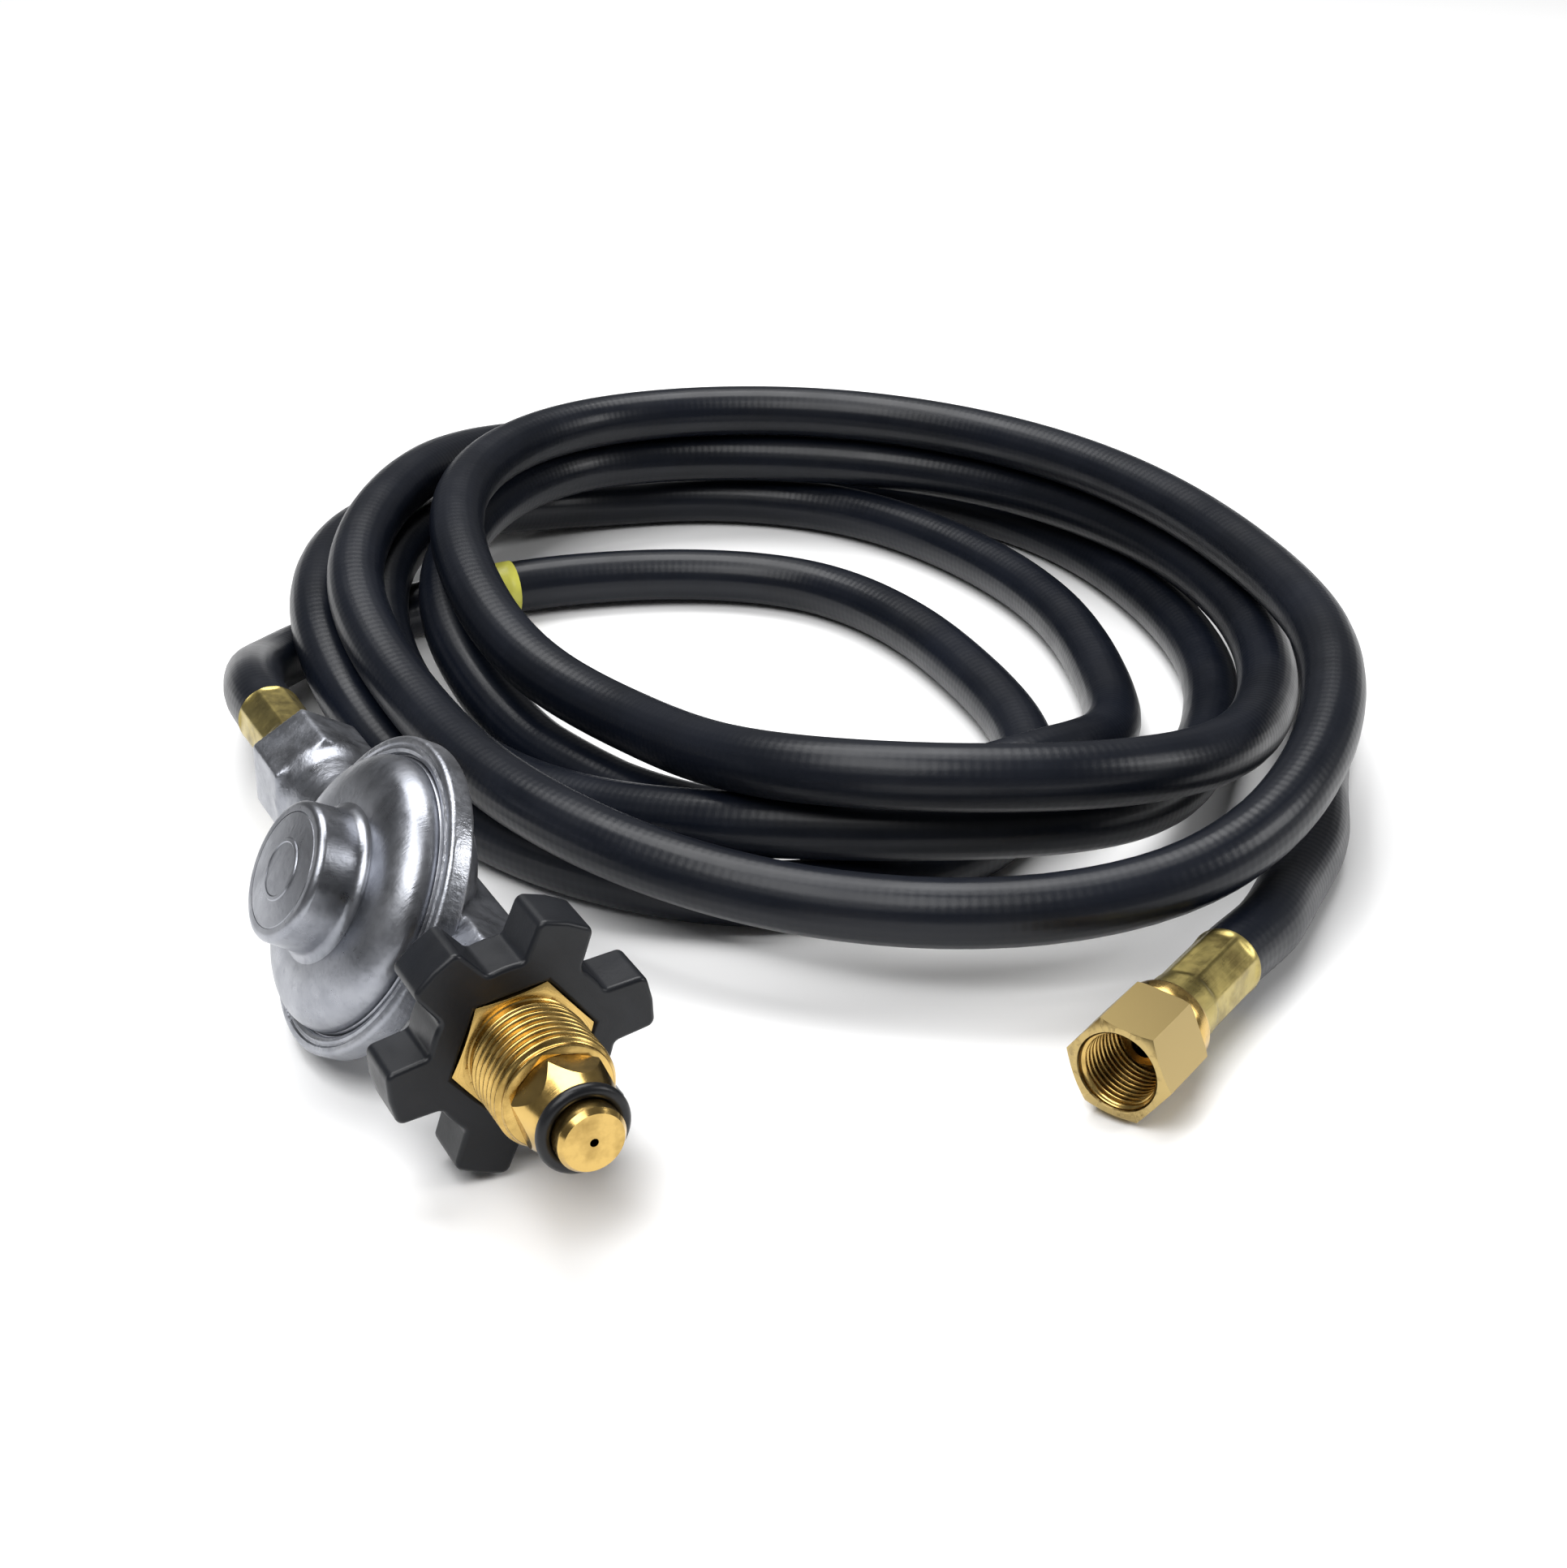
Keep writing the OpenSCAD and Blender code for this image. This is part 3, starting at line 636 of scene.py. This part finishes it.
cover_profile = [(BORE_R - 0.45, TOWER_Z), (TOWER_R - 1.5, TOWER_Z),
                 *arc(TOWER_R - 1.5, TOWER_Z - 1.5, 1.5, 80, 5, 7),
                 (TOWER_R + 0.25, DOME_Z + 3),
                 *arc(TOWER_R + 2.3, DOME_Z + 2.0, 2.0, 180, 262, 6),
                 *crown,
                 (DOME_R - 0.45, LIP_Z + 0.9), (DOME_R - 0.2, LIP_Z + 0.5), (DOME_R - 0.05, LIP_Z),
                 (SEAT_R, LIP_Z), (SEAT_R, FLANGE_Z), (DOME_R - 2.5, FLANGE_Z),
                 *inside,
                 (BORE_R, DOME_Z - 1.5), (BORE_R, TOWER_Z - 2), (BORE_R - 0.45, TOWER_Z - 2)]
cover = lathe("cover_skin", cover_profile, on_disc(), steps=192, smooth=28)
finish_piece(cover, ZINC, "root", "zinc", "regulator_cover")
cap_profile = [(AXIS, TOWER_Z - 2), (BORE_R - 0.5, TOWER_Z - 2), (BORE_R - 0.5, TOWER_Z - 0.1),
               (BORE_R - 0.7, TOWER_Z + 0.05), (9, TOWER_Z + 0.25), (6.3, TOWER_Z + 0.42),
               (6.05, TOWER_Z + 0.62), (5.45, TOWER_Z + 0.66), (5.2, TOWER_Z + 0.5),
               (2.5, TOWER_Z + 0.58), (AXIS, TOWER_Z + 0.6)]
cap = lathe("tower_cap_skin", cap_profile, on_disc(), steps=128, smooth=28)
finish_piece(cap, ZINC, "root", "zinc", "tower_cap")

rim_profile = [(DOME_R + 0.25, LIP_Z + 0.05), (DOME_R + 0.2, LIP_Z + 0.5),
               (DOME_R + 0.5, LIP_TOP - 0.15), (29.2, LIP_TOP), (29.7, LIP_TOP - 0.3),
               (30.05, LIP_TOP - 0.3), (30.4, LIP_TOP),
               *arc(RIM_R - 1.0, LIP_TOP - 1.0, 1.0, 85, 5, 5),
               (RIM_R, 9.2), *arc(RIM_R - 0.8, 8.8, 0.8, 0, -80, 4), (28.5, 8.0), (28.5, 9.3),
               (SEAT_R, SEAT_Z), (SEAT_R, LIP_Z + 0.05)]
rim = lathe("rim_ring", rim_profile, on_disc(), steps=192, smooth=28)
finish_piece(rim, ZINC_CAST, "root", "zinc")


def axis_prism(name, outline, y0, y1):
    """A prism along local Y of the disc."""
    turn = Matrix.Rotation(math.radians(-90), 4, "X")
    return prism(name, outline, y0, y1, on_disc() @ turn)


def axis_lathe(name, profile, steps=64):
    return lathe(name, profile, on_disc() @ Matrix.Rotation(math.radians(-90), 4, "X"), steps=steps)


BOSS_AF, INLET_L = 23, 43.5
VOXEL = 0.55
CHAMBER_R, CHAMBER_FLOOR, ABOVE = 21.5, 4.5, 20
BORE = 3.6        # room for the valve holder
bowl = lathe("casting", [(AXIS, -6), (RIM_R - 22, -6), (RIM_R - 11, 0), (RIM_R - 6, CHAMBER_FLOOR),
                         (RIM_R - 2.5, 7.2), (RIM_R - 1.2, 7.9), (RIM_R - 1.2, 9.2), (AXIS, 9.2)],
             on_disc(), steps=96)
parts = [axis_prism("inlet", hexagon(BOSS_AF, 30), -INLET_L, 6),
         axis_prism("outlet", hexagon(BOSS_AF, 30), OUTLET_L - 17.6, OUTLET_L),
         axis_lathe("neck", [(AXIS, 5), (10, 5), (10.6, 20), (10.4, 36), (9.9, 45), (10.4, 53),
                             (11.8, OUTLET_L - 17), (11.5, OUTLET_L - 12), (AXIS, OUTLET_L - 12)])]
bpy.context.view_layer.update()
joined = bmesh.new()
for o in [bowl, *parts]:
    joined.from_mesh(o.data)
for o in parts:
    bpy.data.objects.remove(o)
joined.to_mesh(bowl.data)
joined.free()
remesh = bowl.modifiers.new("remesh", "REMESH")
remesh.mode, remesh.voxel_size, remesh.use_smooth_shade = "VOXEL", VOXEL * MM, True
soften = bowl.modifiers.new("soften", "SMOOTH")
soften.factor, soften.iterations = 0.5, 8
bake(bowl)

# What it holds inside: the chamber, the lever's slot under it and the valve's bore
chamber = lathe("chamber", [(AXIS, CHAMBER_FLOOR), (CHAMBER_R, CHAMBER_FLOOR), (CHAMBER_R, ABOVE),
                            (AXIS, ABOVE)], on_disc(), steps=96)
slot = prism("slot", [(-4, -14), (4, -14), (4, 3.5), (-4, 3.5)], -9, 6, on_disc())
bore = axis_lathe("bore", [(AXIS, -30), (BORE, -30), (BORE, 1), (AXIS, 1)])
casting = bowl
for tool in (chamber, slot, bore):
    casting = boolean(casting, tool, "DIFFERENCE")
casting.data.polygons.foreach_set("use_smooth", [True] * len(casting.data.polygons))
disc_inverse = on_disc().inverted()
local = np.array([disc_inverse @ v.co for v in casting.data.vertices], np.float32) * MM
if "loc" in casting.data.attributes:
    casting.data.attributes.remove(casting.data.attributes["loc"])
casting.data.attributes.new("loc", "FLOAT_VECTOR", "POINT").data.foreach_set("vector", local.ravel())
finish_piece(casting, ZINC_CAST, "root", "zinc", "regulator_body")

# ---- materials on the CAD nodes that stay

CAD_LOOKS = {
    STEEL: ("adjusting_screw", "main_spring", "diaphragm_plate", "lever", "lever_pin", "inlet_filter",
            "vent_screen"),
    SEAL: ("diaphragm", "seat_pad", "nose_o_ring", "hose_tails"),
    BRASS_CAD: ("diaphragm_post", "valve_holder", "inlet_orifice", "pol_nipple", "outlet_stem",
                "flare_stem"),
}
for material, node_names in CAD_LOOKS.items():
    for node_name in node_names:
        cad_material(node_name, material)

# ---- floor, light and background

floor_mesh = bpy.data.meshes.new("floor")
floor_mesh.from_pydata([(-4, -4, 0), (4, -4, 0), (4, 4, 0), (-4, 4, 0)], [], [(0, 1, 2, 3)])
floor = bpy.data.objects.new("floor", floor_mesh)
bpy.context.scene.collection.objects.link(floor)
floor.location.z = -0.0003
pale = bpy.data.materials.new("floor")
pale.use_nodes = True
pale.node_tree.nodes["Principled BSDF"].inputs["Base Color"].default_value = (0.93, 0.93, 0.93, 1)
pale.node_tree.nodes["Principled BSDF"].inputs["Roughness"].default_value = 0.8
floor_mesh.materials.append(pale)


def area(name, where, target, size, power, colour=(1, 1, 1)):
    light = bpy.data.lights.new(name, "AREA")
    light.shape, light.energy, light.color = "RECTANGLE", power, colour
    light.size, light.size_y = size
    obj = bpy.data.objects.new(name, light)
    bpy.context.scene.collection.objects.link(obj)
    obj.location = where
    obj.rotation_euler = (Vector(target) - Vector(where)).to_track_quat("-Z", "Y").to_euler()
    return obj


MIDDLE = (0.12, 0.06, 0.02)
area("key", (-0.5, -0.3, 1.15), MIDDLE, (1.0, 0.8), 14)
area("top", (0.25, 0.75, 1.7), MIDDLE, (1.6, 1.2), 38)
area("fill", (1.2, -0.6, 0.7), MIDDLE, (0.5, 0.5), 6)
world = bpy.data.worlds.new("world")
bpy.context.scene.world = world
world.use_nodes = True
world.node_tree.nodes["Background"].inputs["Color"].default_value = (1, 1, 1, 1)
world.node_tree.nodes["Background"].inputs["Strength"].default_value = 0.16
bpy.context.scene.view_settings.view_transform = "Standard"
